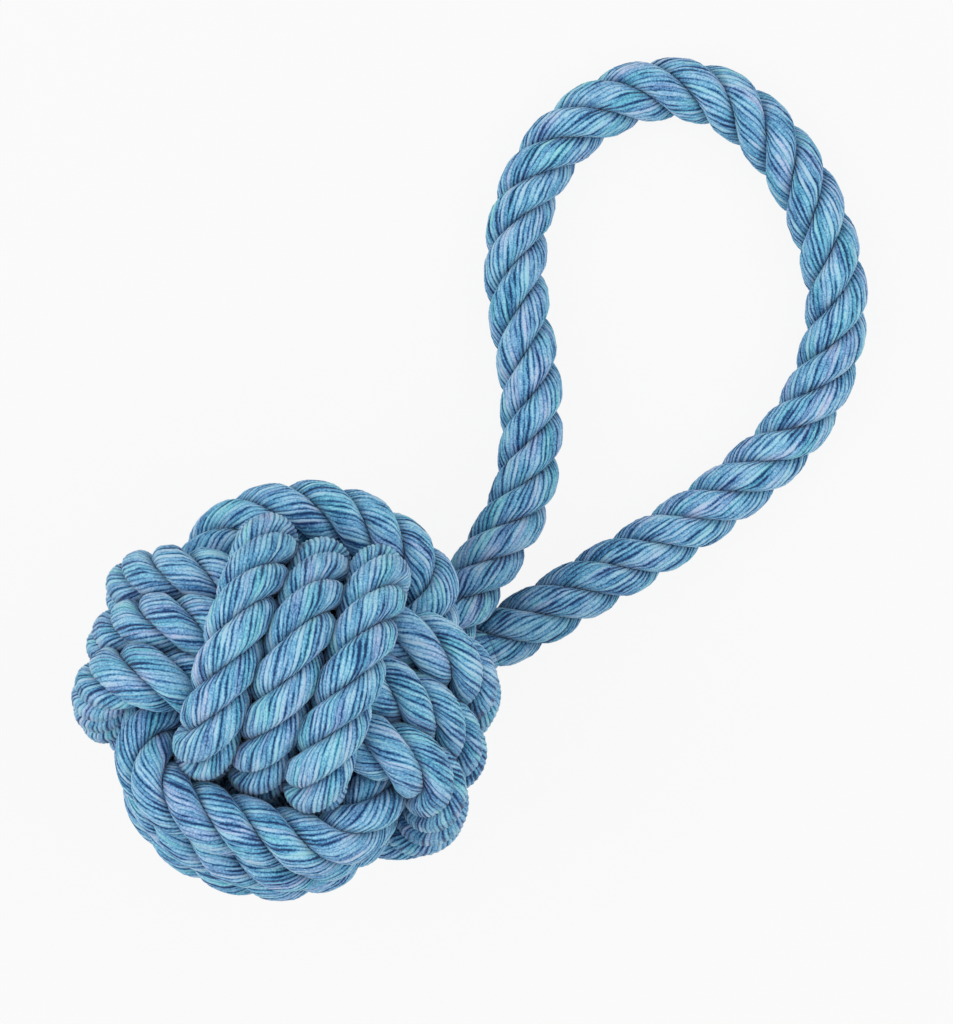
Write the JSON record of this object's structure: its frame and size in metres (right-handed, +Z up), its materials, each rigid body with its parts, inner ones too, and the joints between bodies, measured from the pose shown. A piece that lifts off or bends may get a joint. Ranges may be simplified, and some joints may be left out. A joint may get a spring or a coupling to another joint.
{
  "type": "rope dog toy",
  "caption": "Cotton rope tug toy: one thick twisted rope knotted into a ball of interlocked bands of turns, with its middle left free as a loop handle.",
  "frame": {"origin": "on the ground, at the flat where the ball rests on one of its turns", "axes": "+Z up from the ground, +X from the ball towards the far end of the loop handle, +Y to the left of that"},
  "size_m": [0.2375, 0.1135, 0.101],
  "materials": {
    "rope": "matt twisted cotton yarns in light blue, aqua, lilac and navy",
    "core": "matt undyed scrap cotton"
  },
  "bodies": {
    "ball": {"core": "core", "first_turns": "rope", "second_turns": "rope", "third_turns": "rope", "right_root": "rope", "left_root": "rope"},
    "handle": {"handle": "rope"}
  },
  "joints": [
    {"name": "handle_lift", "type": "hinge", "parent": "ball", "child": "handle", "pos_m": [0.0555, 0.0062, 0.019], "axis": [0, -1, 0], "range_deg": [-45, 80], "deforming": ["left_root", "right_root"]}
  ]
}
